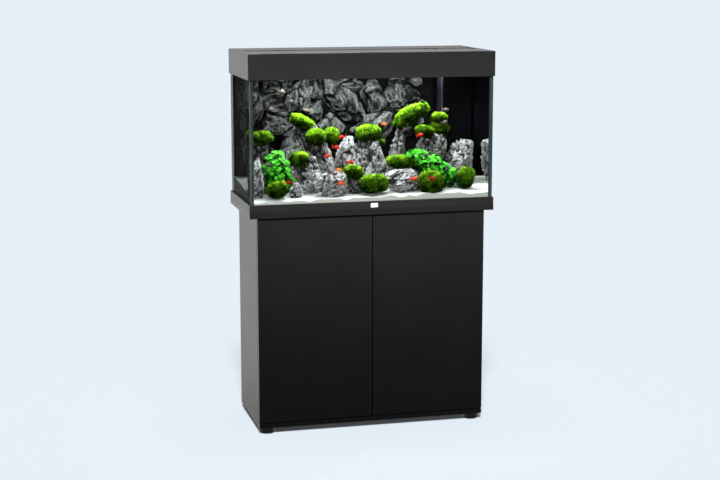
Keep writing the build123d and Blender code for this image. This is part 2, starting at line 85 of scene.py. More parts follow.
class Look:  # one material, or the world, and the one way to add a node to it
    socketNames = {
        "colour": "Base Color",
        "rough": "Roughness",
        "metal": "Metallic",
        "specular": "Specular IOR Level",
        "normal": "Normal",
        "glow": "Emission Color",
        "glowStrength": "Emission Strength",
    }

    def __init__(self, name, tree=None):
        if tree is None:
            self.material = bpy.data.materials.new(name)
            self.material.use_nodes = True
            tree = self.material.node_tree
        self.tree = tree
        self.tree.nodes.clear()

    def node(self, kind, settings=None, sockets=None, output=0):
        made = self.tree.nodes.new(kind)
        for key, value in (settings or {}).items():
            if key == "stops":
                ramp = made.color_ramp
                while len(ramp.elements) < len(value):
                    ramp.elements.new(0.5)
                for element, (place, colour) in zip(ramp.elements, value):
                    element.position = place
                    element.color = (*colour, 1)
            else:
                setattr(made, key, value)
        for key, value in (sockets or {}).items():
            if isinstance(value, Wire):
                self.tree.links.new(value.socket, made.inputs[key])
            else:
                made.inputs[key].default_value = value
        return Wire(self, made.outputs[output]) if len(made.outputs) else None

    def place(self, scale=(1, 1, 1)):  # object coordinates, scaled
        spot = self.node("ShaderNodeTexCoord", output="Object")
        return self.node("ShaderNodeMapping", {}, {"Vector": spot, "Scale": scale})

    def grain(self, scale, detail=3, rough=0.5, vector=None, warp=0.0):
        sockets = {"Scale": scale, "Detail": detail, "Roughness": rough, "Distortion": warp}
        sockets["Vector"] = vector or self.place()
        return self.node("ShaderNodeTexNoise", {}, sockets)

    def cells(self, scale):
        return self.node("ShaderNodeTexVoronoi", {}, {"Vector": self.place(), "Scale": scale})

    def attribute(self, name):
        return self.node("ShaderNodeAttribute", {"attribute_name": name}, output="Fac")

    def geometry(self, name):
        return self.node("ShaderNodeNewGeometry", output=name)

    def ray(self, name):
        return self.node("ShaderNodeLightPath", output=name)

    def part(self, axis, vector):  # one coordinate of a vector
        return self.node("ShaderNodeSeparateXYZ", {}, {0: vector}, output=axis)

    def between(self, value, start, end, atStart=0.0, atEnd=1.0, easing="LINEAR"):
        sockets = {"Value": value, "From Min": start, "From Max": end, "To Min": atStart, "To Max": atEnd}
        return self.node("ShaderNodeMapRange", {"interpolation_type": easing}, sockets)

    def ramp(self, value, *stops):
        return self.node("ShaderNodeValToRGB", {"stops": stops}, {"Fac": value})

    def mask(self, value, start, end):  # 0 below start, 1 above end
        return self.ramp(value, (start, black), (end, white))

    def mix(self, share, a, b, blend="MIX"):
        a = (*a, 1) if isinstance(a, tuple) else a
        b = (*b, 1) if isinstance(b, tuple) else b
        settings = {"data_type": "RGBA", "blend_type": blend}
        return self.node("ShaderNodeMix", settings, {0: share, 6: a, 7: b}, output=2)

    def bump(self, height, strength, distance):
        sockets = {"Height": height, "Strength": strength, "Distance": distance}
        return self.node("ShaderNodeBump", {}, sockets)

    def fresnel(self, bend):
        return self.node("ShaderNodeFresnel", {}, {"IOR": bend})

    def clear(self, colour):
        return self.node("ShaderNodeBsdfTransparent", {}, {"Color": (*colour, 1)})

    def mirror(self, rough):
        return self.node("ShaderNodeBsdfAnisotropic", {}, {"Color": (*white, 1), "Roughness": rough})

    def principled(self, **values):
        sockets = {self.socketNames[key]: value for key, value in values.items()}
        return self.node("ShaderNodeBsdfPrincipled", {}, sockets)

    def shaded(self, share, plain, other):
        return self.node("ShaderNodeMixShader", {}, {0: share, 1: plain, 2: other})

    def finish(self, shader):
        self.node("ShaderNodeOutputMaterial", {}, {"Surface": shader})
        return self.material

    def surface(self, **values):
        return self.finish(self.principled(**values))


# Finishes of the CAD pieces
def blackBoard():
    look = Look("blackBoard")
    pearl = look.grain(900, detail=2)
    cloud = look.grain(6)
    return look.surface(
        colour=look.ramp(cloud, (0.3, (0.0041, 0.0041, 0.0042)), (0.75, (0.0053, 0.0053, 0.0054))),
        rough=0.34 + 0.1 * pearl + 0.05 * cloud,
        specular=0.12,
        normal=look.bump(pearl, strength=0.06, distance=0.0004),
    )


def blackPlastic():
    look = Look("blackPlastic")
    pits = look.cells(1300)
    cloud = look.grain(9)
    return look.surface(
        colour=look.ramp(cloud, (0.3, (0.0056, 0.0056, 0.0057)), (0.75, (0.0064, 0.0064, 0.0065))),
        rough=0.36 + 0.1 * pits + 0.05 * cloud,
        specular=0.12,
        normal=look.bump(pits, strength=0.08, distance=0.0004),
    )


def filterPlastic():  # nearly black, with a painted lilac highlight high on the faces that look left
    look = Look("filterPlastic")
    pits = look.cells(900)
    cloud = look.grain(12)
    dark = look.ramp(cloud, (0.3, (0.0003, 0.0003, 0.0004)), (0.75, (0.0006, 0.0006, 0.0008)))
    # painted highlight: a lilac sheen on the faces that look left, strongest near the top
    highlightSide = (-1 * look.part("X", look.geometry("Normal"))).over(0.6)
    highlightRise = look.between(look.part("Z", look.place()), start=1.09, end=1.185, atStart=0.12)
    return look.surface(
        colour=look.mix(highlightSide * highlightRise, dark, (0.075, 0.068, 0.100)),
        rough=0.42 + 0.1 * pits,
        specular=0.005,
        normal=look.bump(pits, strength=0.06, distance=0.0004),
    )


def footPlastic():
    look = Look("footPlastic")
    cloud = look.grain(40)
    return look.surface(
        colour=look.ramp(cloud, (0.3, (0.006, 0.006, 0.006)), (0.75, (0.011, 0.011, 0.011))),
        rough=0.3 + 0.15 * cloud,
        specular=0.25,
        normal=look.bump(look.grain(1200, detail=2), strength=0.05, distance=0.0003),
    )


def clearGlass(name, across):  # across: the axis that the pane is thin along
    look = Look(name)
    haze = look.grain(14, detail=2)
    # painted shade: seen at a slant, the pane lets through a darker tint, standing in for the dim inside
    # seen edge-on
    slant = look.node("ShaderNodeLayerWeight", {}, {"Blend": 0.5}, output="Facing")
    slantShade = look.between(slant, start=0.6, end=0.82, atEnd=0.58)
    body = look.shaded(slantShade, look.clear((0.965, 0.99, 0.98)), look.clear((0.10, 0.115, 0.10)))
    pane = look.shaded(0.015 * look.fresnel(1.5), body, look.mirror(0.01 + 0.02 * haze))
    edge = look.principled(
        colour=look.ramp(haze, (0.2, (0.004, 0.009, 0.008)), (0.8, (0.012, 0.024, 0.021))),
        rough=0.2 + 0.1 * haze,
        specular=0.02,
    )
    facing = look.part(across, look.geometry("Normal"))
    return look.finish(look.shaded((facing * facing).over(0.5), edge, pane))


def silicone():
    look = Look("silicone")
    wave = look.grain(160, detail=2)
    return look.surface(
        colour=look.ramp(wave, (0.3, (0.006, 0.006, 0.006)), (0.8, (0.012, 0.012, 0.012))),
        rough=0.3 + 0.15 * wave,
        specular=0.06,
        normal=look.bump(wave, strength=0.1, distance=0.0006),
    )


def hingeSteel():
    look = Look("hingeSteel")
    brush = look.grain(300, detail=4, vector=look.place((1, 1, 0.06)))
    return look.surface(
        colour=look.ramp(brush, (0.2, (0.5, 0.5, 0.52)), (0.8, (0.68, 0.68, 0.7))),
        metal=1,
        rough=0.2 + 0.2 * brush,
        normal=look.bump(brush, strength=0.08, distance=0.0003),
    )


def lightTube():
    look = Look("lightTube")
    cloud = look.grain(30, detail=2)
    colour = look.ramp(cloud, (0.2, (0.88, 0.91, 0.96)), (0.8, (0.95, 0.96, 0.98)))
    return look.surface(colour=colour, rough=0.15 + 0.1 * cloud, glow=colour, glowStrength=1.5)


def greyPlastic():
    look = Look("greyPlastic")
    pits = look.cells(900)
    cloud = look.grain(20)
    return look.surface(
        colour=look.ramp(cloud, (0.3, (0.1, 0.104, 0.11)), (0.75, (0.13, 0.134, 0.14))),
        rough=0.38 + 0.15 * pits,
        normal=look.bump(pits, strength=0.1, distance=0.0004),
    )


def filterSponge():
    look = Look("filterSponge")
    pores = look.cells(420)
    return look.surface(
        colour=look.ramp(pores, (0.05, (0.008, 0.03, 0.09)), (0.6, (0.03, 0.12, 0.3))),
        rough=0.85 + 0.1 * pores,
        normal=look.bump(pores, strength=0.9, distance=0.002),
    )


def beech():
    look = Look("beech")
    rings = look.grain(120, detail=4, vector=look.place((0.08, 1, 1)), warp=0.4)
    return look.surface(
        colour=look.ramp(rings, (0.3, (0.36, 0.2, 0.09)), (0.7, (0.55, 0.36, 0.19))),
        rough=0.5 + 0.2 * rings,
        normal=look.bump(rings, strength=0.2, distance=0.0005),
    )


slotFinishes = {
    "black_board": blackBoard(),
    "black_plastic": blackPlastic(),
    "foot_plastic": footPlastic(),
    "silicone": silicone(),
    "hinge_steel": hingeSteel(),
    "light_tube": lightTube(),
    "grey_plastic": greyPlastic(),
    "sponge": filterSponge(),
    "beech": beech(),
}
frontPane = clearGlass("frontPane", "Y")
sidePane = clearGlass("sidePane", "X")
basePane = clearGlass("basePane", "Z")
filterFinish = filterPlastic()
nodeFinishes = {  # these go before the finish of the node's slot
    "front_glass": frontPane,
    "back_glass": frontPane,
    "left_glass": sidePane,
    "right_glass": sidePane,
    "bottom_glass": basePane,
    "filter_housing": filterFinish,
    "heater": filterFinish,
    "pump_body": filterFinish,
    "pump_nozzle": filterFinish,
}
for row in frame["record"]["subparts"]:
    finish = nodeFinishes.get(row["node"]) or slotFinishes.get(row["material_slot"])
    if finish:
        cadPiece = frame["nodes"][row["node"]]
        cadPiece.data.materials.clear()
        cadPiece.data.materials.append(finish)
print("CAD nodes finished with", len(slotFinishes), "slot materials")


# Modelling helpers
def freshStart():
    if bpy.context.object and bpy.context.object.mode != "OBJECT":
        bpy.ops.object.mode_set(mode="OBJECT")
    bpy.ops.object.select_all(action="DESELECT")


def pick(piece):
    freshStart()
    piece.select_set(True)
    bpy.context.view_layer.objects.active = piece


def openMesh(piece, action="SELECT"):  # edit mode, with all or nothing selected
    pick(piece)
    bpy.ops.object.mode_set(mode="EDIT")
    bpy.ops.mesh.select_all(action=action)


def closeMesh():
    bpy.ops.object.mode_set(mode="OBJECT")


def intoMesh():  # the active piece's place, turn and size go into its mesh
    bpy.ops.object.transform_apply(location=True, rotation=True, scale=True)
    return bpy.context.object


def block(centre, size):
    freshStart()
    bpy.ops.mesh.primitive_cube_add(size=1, location=centre, scale=size)
    return intoMesh()


def ball(level):
    freshStart()
    bpy.ops.mesh.primitive_ico_sphere_add(subdivisions=level, radius=1, location=(0, 0, 0))
    return bpy.context.object


def joined(name, members):
    freshStart()
    for member in members:
        member.select_set(True)
    bpy.context.view_layer.objects.active = members[0]
    bpy.ops.object.join()
    piece = bpy.context.object
    piece.name = name
    piece.data.name = name
    return piece


def settle(piece, material, nodes=(), smooth=True):  # place into the mesh, finish, ride
    pick(piece)
    intoMesh()
    if smooth:
        bpy.ops.object.shade_smooth()
    piece.data.materials.clear()
    piece.data.materials.append(material)
    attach(piece, tankBody)
    if nodes:
        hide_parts(*nodes)
    print("piece", piece.name, len(piece.data.polygons), "faces")


def readPoints(piece):
    flat = np.zeros(len(piece.data.vertices) * 3, np.float32)
    piece.data.vertices.foreach_get("co", flat)
    return flat.reshape(-1, 3).astype(float)


def writePoints(piece, points):
    piece.data.vertices.foreach_set("co", points.astype(np.float32).ravel())
    piece.data.update()


def store(piece, name, values):
    layer = piece.data.attributes.get(name) or piece.data.attributes.new(name, "FLOAT", "POINT")
    layer.data.foreach_set("value", np.asarray(values, np.float32))


def copiesOf(unit, name, places):  # one small model set at many places, as one mesh
    points = readPoints(unit)
    faces = [tuple(face.vertices) for face in unit.data.polygons]
    allPoints, allFaces, shares = [], [], []
    for matrix, share in places:
        start = len(points) * len(shares)
        turned = points @ np.array(matrix.to_3x3()).T + np.array(matrix.translation)
        allPoints.append(turned)
        allFaces.extend(tuple(index + start for index in face) for face in faces)
        shares.append(share)
    mesh = bpy.data.meshes.new(name)
    mesh.from_pydata(np.concatenate(allPoints).tolist(), [], allFaces)
    piece = bpy.data.objects.new(name, mesh)
    bpy.context.scene.collection.objects.link(piece)
    store(piece, "share", np.repeat(shares, len(points)))
    return piece


def clamped(value):
    return max(0.0, min(1.0, value))


def leaning(degrees):  # a turn in the plane of the front glass
    return Euler((0, -math.radians(degrees), 0)).to_matrix()


def squared(points, boxy):  # a unit ball at 2, nearer to a cube above
    return points / (np.sum(np.abs(points) ** boxy, axis=1) ** (1 / boxy))[:, None]


def farOff(rng, reach=9):  # where a piece's own stretch of noise begins
    return Vector([rng.uniform(-reach, reach) for axis in range(3)])


def uprightOn(way):  # turns Z to the given way
    return way.to_track_quat("Z", "Y").to_matrix().to_4x4()


# Camera
cameraSetup = {
    "place": (-1.27593, -5.01106, 1.51018),
    "down": 0.17457,
    "turn": -0.24923,
    "lens": 78.66,
    "sensor": 36,
    "farthest": 200,
}
freshStart()
cameraTurn = (math.pi / 2 - cameraSetup["down"], 0, cameraSetup["turn"])
bpy.ops.object.camera_add(location=cameraSetup["place"], rotation=cameraTurn)
camera = bpy.context.object
camera.data.lens = cameraSetup["lens"]
camera.data.sensor_width = cameraSetup["sensor"]
camera.data.clip_end = cameraSetup["farthest"]
bpy.context.scene.camera = camera

# World: pale to the eye, and a neutral room with a darker front in reflections
studio = {
    "pale": (0.799, 0.863, 0.930),
    "neutral": (0.865, 0.865, 0.865),
    "front": (0.38, 0.38, 0.38),
    "fill": 0.10,  # how much of it lights the part
    "frontEnds": -0.5,
    "rearBegins": 0.3,
}
bpy.context.scene.view_settings.view_transform = "Standard"
world = bpy.data.worlds.new("studioWorld")
bpy.context.scene.world = world
world.use_nodes = True
sky = Look("studioWorld", world.node_tree)
glossyRay = sky.ray("Is Glossy Ray")
seen = sky.ray("Is Camera Ray").larger(glossyRay.larger(sky.ray("Is Transmission Ray")))
way = sky.part("Y", sky.node("ShaderNodeTexCoord", output="Generated"))
rear = sky.between(way, studio["frontEnds"], studio["rearBegins"])
hue = sky.mix(glossyRay, studio["pale"], sky.mix(rear, studio["front"], studio["neutral"]))
strength = studio["fill"] + (1 - studio["fill"]) * seen
backing = sky.node("ShaderNodeBackground", {}, {"Color": hue, "Strength": strength})
sky.node("ShaderNodeOutputWorld", {}, {"Surface": backing})

# Floor that melts into the world away from the part
floorSetup = {"radius": 30, "corners": 96, "height": -0.0004, "share": 0.95, "meltFrom": 0.45, "meltTo": 1.5}


def floorLook():
    look = Look("paleFloor")
    spot = look.node("ShaderNodeTexCoord", output="Object")
    away = look.node("ShaderNodeVectorMath", {"operation": "LENGTH"}, {0: spot}, output="Value")
    near = look.between(away, floorSetup["meltFrom"], floorSetup["meltTo"], 1.0, 0.0, "SMOOTHSTEP")
    paint = look.mix(0.04 * look.grain(30, detail=2), (0.80, 0.863, 0.93), (0.77, 0.83, 0.895))
    matt = look.principled(colour=paint, rough=0.9, specular=0.1)
    return look.finish(look.shaded(floorSetup["share"] * near, look.clear(white), matt))


freshStart()
bpy.ops.mesh.primitive_circle_add(
    vertices=floorSetup["corners"],
    radius=floorSetup["radius"],
    fill_type="NGON",
    location=(0, 0, floorSetup["height"]),
)
floor = bpy.context.object
floor.name = "floor"
floor.visible_glossy = False
floor.visible_shadow = False
floor.data.materials.append(floorLook())

# Lamps: spread in degrees, mirrored says whether reflections show the lamp
studioLamps = {
    "frontKey": {
        "place": (-0.25, -2.2, 1.9), "aim": (0, -0.15, 0.95), "size": (1.6, 0.5),
        "power": 28, "spread": 36, "mirrored": False,
    },
    "leftBox": {
        "place": (-2.2, 2.2, 0.75), "aim": (-0.4, 0, 0.4), "size": (3.0, 3.0),
        "power": 28, "spread": 120, "mirrored": True,
    },
    "topFill": {
        "place": (0.3, 1.4, 2.6), "aim": (0, 0.1, 1.2), "size": (2.2, 1.2),
        "power": 22, "spread": 140, "mirrored": True,
    },
    "sandGlow": {
        "place": (-0.3, -1.6, 0.80), "aim": (0, -0.17, 0.77), "size": (1.6, 0.2),
        "power": 9, "spread": 120, "mirrored": False,
    },
}
floorSun = {"from": (-0.7, -2.75, 2.9), "power": 4.05, "angle": 12}
tubeLamps = {
    "places": [(0, -0.045, 1.169), (0, 0.012, 1.169)],
    "size": (0.62, 0.03),
    "power": 3.5,
    "colour": (0.97, 0.98, 1.0),
}


def addLamp(kind, name, place, power):
    freshStart()
    bpy.ops.object.light_add(type=kind, location=place)
    light = bpy.context.object
    light.name = name
    light.data.energy = power
    return light


def makePanel(light, size):
    light.data.shape = "RECTANGLE"
    light.data.size, light.data.size_y = size
    light.visible_camera = False


for lampName, lamp in studioLamps.items():
    light = addLamp("AREA", lampName, lamp["place"], lamp["power"])
    makePanel(light, lamp["size"])
    beam = Vector(lamp["aim"]) - Vector(lamp["place"])
    light.rotation_euler = beam.to_track_quat("-Z", "Y").to_euler()
    light.data.spread = math.radians(lamp["spread"])
    light.visible_glossy = lamp["mirrored"]
light = addLamp("SUN", "floorSun", floorSun["from"], floorSun["power"])
light.rotation_euler = Vector(floorSun["from"]).to_track_quat("Z", "Y").to_euler()
light.data.angle = math.radians(floorSun["angle"])
for number, place in enumerate(tubeLamps["places"]):
    light = addLamp("AREA", "tubeLamp" + str(number), place, tubeLamps["power"])
    makePanel(light, tubeLamps["size"])
    light.data.color = tubeLamps["colour"]
print("camera, floor and lamps set")

# Water
waterSetup = {
    "halfX": 0.3938,
    "halfY": 0.1688,
    "low": 0.7422,
    "high": 1.160,
    "bend": 1.333,
    "rim": 0.004,
    "cuts": 48,
    "ripple": 0.0012,
    "ripplesX": 14,
    "ripplesY": 18,
    "hair": 1e-4,
}


def waterLook():  # bends what is seen through it, mirrors from inside, and lets lamps through
    look = Look("water")
    drift = look.grain(5, detail=2)
    sockets = {"Color": (0.978, 0.994, 0.995, 1), "Roughness": 0.0, "IOR": waterSetup["bend"]}
    bent = look.node("ShaderNodeBsdfRefraction", {}, sockets)
    mirrored = look.fresnel(waterSetup["bend"]) * (0.03 + 0.97 * look.geometry("Backfacing"))
    body = look.shaded(mirrored, bent, look.mirror(0.01 + 0.01 * drift))
    return look.finish(look.shaded(look.ray("Is Shadow Ray"), body, look.clear((0.985, 0.995, 0.995))))


water = block(
    (0, 0, (waterSetup["low"] + waterSetup["high"]) / 2),
    (2 * waterSetup["halfX"], 2 * waterSetup["halfY"], waterSetup["high"] - waterSetup["low"]),
)
openMesh(water, "DESELECT")
closeMesh()
for face in water.data.polygons:
    face.select = face.normal.z > 0.9
bpy.ops.object.mode_set(mode="EDIT")
bpy.ops.mesh.inset(thickness=waterSetup["rim"])
bpy.ops.mesh.subdivide(number_cuts=waterSetup["cuts"])
closeMesh()
points = readPoints(water)
for point in points:
    inside = min(waterSetup["halfX"] - abs(point[0]), waterSetup["halfY"] - abs(point[1]))
    if point[2] > waterSetup["high"] - waterSetup["hair"] and inside > waterSetup["hair"]:
        spot = Vector((point[0] * waterSetup["ripplesX"], point[1] * waterSetup["ripplesY"], 3))
        point[2] += waterSetup["ripple"] * noise.fractal(spot, 0.8, 2.0, 3)
writePoints(water, points)
water.name = "water"
settle(water, waterLook(), smooth=False)

# Sand
sandSetup = {
    "halfX": 0.3936,
    "halfY": 0.1686,
    "low": 0.7424,
    "across": (-0.169, -0.12, 0.0, 0.169),
    "heights": (0.7665, 0.771, 0.790, 0.806),
    "cuts": (220, 96),
    "rightRise": 0.005,  # of the front, from its middle to its right end
    "riseFrom": -0.06,
    "riseDepth": 0.1,
    "riseWidth": 0.39,
    "edgeWave": 0.011,  # where the sand meets the front glass
    "edgeFrom": -0.14,
    "edgeDepth": 0.025,
    "edgeScale": 26,
    "swell": 0.0022,
    "swellScale": (9, 6),
    "ripple": 0.0006,
    "rippleScale": 60,
    "creaseAngle": 50,
}


def sandHeight(x, y):
    level = float(np.interp(y, sandSetup["across"], sandSetup["heights"]))
    front = clamped((sandSetup["riseFrom"] - y) / sandSetup["riseDepth"])
    edge = clamped((sandSetup["edgeFrom"] - y) / sandSetup["edgeDepth"])
    edge *= noise.noise(Vector((x * sandSetup["edgeScale"], 2.1, 0)))
    along, across = sandSetup["swellScale"]
    swell = noise.fractal(Vector((x * along, y * across, 7.3)), 1.0, 2.0, 3)
    ripple = noise.noise(Vector((x * sandSetup["rippleScale"], y * sandSetup["rippleScale"], 1)))
    level += front * sandSetup["rightRise"] * x / sandSetup["riseWidth"] + sandSetup["edgeWave"] * edge
    return level + sandSetup["swell"] * swell + sandSetup["ripple"] * ripple


def sandLook():
    look = Look("paleSand")
    grit = look.cells(900)
    cloud = look.grain(18, detail=4)
    speck = look.grain(520, detail=2)
    dust = look.ramp(cloud, (0.3, (0.53, 0.525, 0.510)), (0.7, (0.64, 0.64, 0.627)))
    top = look.mix(0.35 * look.mask(speck, 0.55, 0.72), dust, (0.36, 0.32, 0.27))
    clamp = {"operation": "MULTIPLY", "use_clamp": True}
    deep = look.node("ShaderNodeMath", clamp, {0: look.attribute("buried"), 1: 30.0})
    return look.surface(
        colour=look.mix(deep, top, (0.54, 0.52, 0.485)),
        rough=0.8 + 0.15 * grit,
        specular=0.03,
        normal=look.bump(grit + speck, strength=0.35, distance=0.0012),
    )


freshStart()
columns, rows = sandSetup["cuts"]
bpy.ops.mesh.primitive_grid_add(x_subdivisions=columns, y_subdivisions=rows, size=1, location=(0, 0, 0))
sand = bpy.context.object
points = readPoints(sand)
points[:, 0] *= 2 * sandSetup["halfX"]
points[:, 1] *= 2 * sandSetup["halfY"]
points[:, 2] = [sandHeight(x, y) for x, y, z in points]
writePoints(sand, points)
openMesh(sand)
bpy.ops.mesh.select_mode(type="EDGE")
bpy.ops.mesh.region_to_loop()
bpy.ops.mesh.extrude_region_move(TRANSFORM_OT_translate={"value": (0, 0, -0.01)})
closeMesh()
buried = []
for vertex in sand.data.vertices:
    buried.append(1.0 if vertex.select else 0.0)
    if vertex.select:
        vertex.co.z = sandSetup["low"]
store(sand, "buried", buried)
bpy.ops.object.mode_set(mode="EDIT")
bpy.ops.mesh.edge_face_add()
bpy.ops.mesh.select_all(action="SELECT")
bpy.ops.mesh.normals_make_consistent(inside=False)
closeMesh()
sand.name = "sand"
settle(sand, sandLook(), ["sand_bed"])
pick(sand)
bpy.ops.object.shade_smooth_by_angle(angle=math.radians(sandSetup["creaseAngle"]))

# Places of the moss: centre and size in mm, lean in degrees, and how square each cushion is
mossPlaces = [
    ((-343, -58, 958), (86, 64, 50), 0, 2.1), ((-200, 18, 1000), (96, 66, 48), -24, 2.1),
    ((-163, -12, 953), (76, 66, 64), 0, 2.2), ((-108, 16, 952), (60, 58, 68), -20, 2.2),
    ((-224, -62, 887), (76, 62, 50), -4, 2.2), ((-52, -92, 842), (76, 62, 54), 0, 2.8),
    ((17, -118, 806), (110, 76, 68), 0, 2.8), ((21, 8, 957), (94, 78, 70), 0, 2.2),
    ((165, 2, 1018), (150, 78, 70), 28, 2.05), ((263, 18, 1002), (68, 62, 46), 0, 2.2),
    ((262, 16, 965), (76, 60, 62), 8, 2.3), ((202, -22, 964), (80, 58, 44), -10, 2.2),
    ((128, -62, 866), (136, 64, 52), -4, 2.3), ((206, -122, 801), (96, 80, 92), 0, 2.4),
    ((330, -92, 812), (62, 64, 78), -10, 2.3), ((-307, -126, 798), (80, 70, 62), 0, 2.3),
    ((62, 0, 926), (30, 28, 30), 0, 2.1),
]
mossShadow = {"reach": 1.5, "deep": 0.1, "above": 0.01}

# Stones: centre and size in mm, and lean in degrees
stoneGroups = {
    "left_rocks": [
        ((-368, -95, 830), (42, 70, 170), 2), ((-338, -50, 860), (46, 50, 180), 6),
        ((-205, 25, 885), (100, 90, 235), -14), ((-184, -68, 825), (96, 80, 140), 8),
        ((-245, -120, 785), (48, 42, 66), 0), ((-122, -5, 850), (66, 66, 180), 8),
    ],
    "centre_rocks": [
        ((-50, 45, 855), (84, 76, 190), -10), ((-129, -118, 800), (122, 70, 96), 10),
        ((-50, -88, 795), (84, 60, 74), -6), ((16, 8, 850), (140, 96, 190), 6),
        ((116, 12, 880), (70, 66, 225), -8),
    ],
    "right_rocks": [
        ((215, 12, 870), (120, 84, 205), -16), ((122, -92, 800), (144, 92, 104), -14),
        ((330, 12, 848), (124, 96, 176), -12),
    ],
}
stoneTones = {
    "dark": (0.026, 0.025, 0.026),
    "mid": (0.245, 0.236, 0.243),
    "pale": (0.57, 0.556, 0.572),
    "tint": (0.76, 0.74, 0.70),
    "fine": 1.45,
}
stoneCut = {
    "boxy": 3.0, "facets": 12, "reach": (0.66, 0.94),
    "strata": 96, "squeeze": 0.55, "chunk": 0.24, "cracks": 0.4, "broad": 0.22, "depth": 0.015,
    "level": 0.53, "contrast": 0.85, "outline": 0.1, "shade": 0.4,
}
ridgeNoise = (0.85, 2.15, 4, 1.0, 2.0)  # dimension, lacunarity, octaves, offset and gain
carving = {  # what stones and boulders share
    "ridge": 0.72, "ridgeTop": 1.9, "broadScale": 0.4, "crackEdge": 9, "lift": 0.05, "highest": 1.2,
    "sunk": 0.75, "middle": 0.48, "facing": 1.6, "flatFaces": 0.7, "tilt": 0.5, "dip": (0.2, 0.8),
}


def rockLook(name, dark, mid, pale, tint, fine):
    look = Look(name)
    vein = look.grain(150, detail=5, rough=0.68, warp=0.9)
    fleck = look.grain(520, rough=0.65)
    # relief holds the real relief together with the painted shade stored by carve and the wall slab
    height = look.attribute("relief") + fine * (vein - 0.5) + 0.6 * fine * (fleck - 0.5)
    bare = look.ramp(height, (0.22, dark), (0.48, mid), (0.80, pale))
    stain = 0.6 * look.mask(look.grain(11), 0.45, 0.7)
    return look.surface(
        colour=look.mix(stain, bare, tint, "MULTIPLY"),
        rough=0.6 + 0.2 * fleck,
        specular=0.03,
        normal=look.bump(vein + 0.6 * fleck, strength=0.7, distance=0.0025),
    )


def mossShade(points):  # 1 right under a moss cushion, 0 in the open
    shade = np.zeros(len(points))
    for place, size, lean, boxy in mossPlaces:
        away = (points - np.array(place) / perMetre) * 2 * perMetre / np.array(size)
        below = place[2] / perMetre - points[:, 2]
        under = np.clip(mossShadow["reach"] - away[:, 0] ** 2 - away[:, 1] ** 2, 0, 1)
        under *= np.clip(1 - below / mossShadow["deep"], 0, 1)
        shade = np.maximum(shade, np.where(below > -mossShadow["above"], under, 0))
    return shade


def carve(piece, size, lean, place, seed, cut):  # a ball becomes a broken, layered stone
    rng = random.Random(seed)
    half = np.array(size) / 2
    points = squared(readPoints(piece), cut["boxy"])
    for step in range(cut["facets"]):  # flat faces
        way = Vector([rng.uniform(-reach, reach) for reach in (1, 1, carving["flatFaces"])])
        axis = np.array(way.normalized())
        over = np.maximum(0, points @ axis - rng.uniform(*cut["reach"]))
        points -= over[:, None] * axis[None, :]
    points *= half / np.abs(points).max(0)
    outward = points / half ** 2
    outward /= np.linalg.norm(outward, axis=1)[:, None]
    shift = farOff(rng)
    roll = rng.uniform(-carving["tilt"], carving["tilt"])
    dip = rng.choice((-1, 1)) * rng.uniform(*carving["dip"])
    swing = rng.uniform(-carving["tilt"], carving["tilt"])
    layers = Euler((roll, dip, swing)).to_matrix()
    stretch = Vector((cut["squeeze"], 1, 1)) if size[0] > size[2] else Vector((1, 1, cut["squeeze"]))
    relief = np.zeros(len(points))
    for index, point in enumerate(points):
        local = (layers @ Vector(point)) * stretch * cut["strata"] + shift
        ridge = noise.ridged_multi_fractal(local, *ridgeNoise) / carving["ridgeTop"]
        broad = noise.noise(local * carving["broadScale"])
        near = noise.voronoi(local * cut["chunk"])[0]
        crack = max(0.0, 1 - carving["crackEdge"] * (near[1] - near[0]))  # a few deep ones
        relief[index] = carving["ridge"] * ridge + cut["broad"] * broad - cut["cracks"] * crack
    relief = np.clip(relief + carving["lift"], 0, carving["highest"])
    points += outward * (cut["depth"] * (relief - carving["sunk"]))[:, None]
    points = points @ np.array(leaning(lean)).T + np.array(place)
    writePoints(piece, points)
    facing = np.array([-vertex.normal.y for vertex in piece.data.vertices])
    tone = cut["level"] + cut["contrast"] * (relief - carving["middle"])
    # painted shade: faces that turn away from the front glass are darkened
    tone -= cut["outline"] * (1 - np.clip(carving["facing"] * facing, 0, 1))
    # painted shadow: stone right under a moss cushion is darkened, and the stored relief carries it
    store(piece, "relief", tone - cut["shade"] * mossShade(points))


greyRock = rockLook("greyRock", **stoneTones)
for groupNumber, (groupName, stones) in enumerate(stoneGroups.items()):
    members = []
    for number, (place, size, lean) in enumerate(stones):
        stone = ball(6)
        seed = 100 * groupNumber + number
        carve(stone, np.array(size) / perMetre, lean, Vector(place) / perMetre, seed, stoneCut)
        members.append(stone)
    settle(joined(groupName.replace("_", ""), members), greyRock, [groupName])

# Rock wall at the back: boulders cut flat behind, on a rough slab
wallSetup = {
    "middle": 157,  # y of the boulders' centres, in mm
    "back": 0.1678,
    "trim": 0.002,
    "bulk": 0.95,
    "firstSeed": 700,
    "fineAbove": 900,  # boulders that are lower or narrower get fewer faces
    "fineWidth": 100,
    "left": -0.3934,
    "right": 0.2845,
    "bottom": 0.757,
    "top": 1.190,
    "thick": 0.012,
    "cuts": 24,
    "rough": 22,
    "frontFrom": 0.010,
    "sunk": 0.004,
    "paintedShade": 0.6,
}
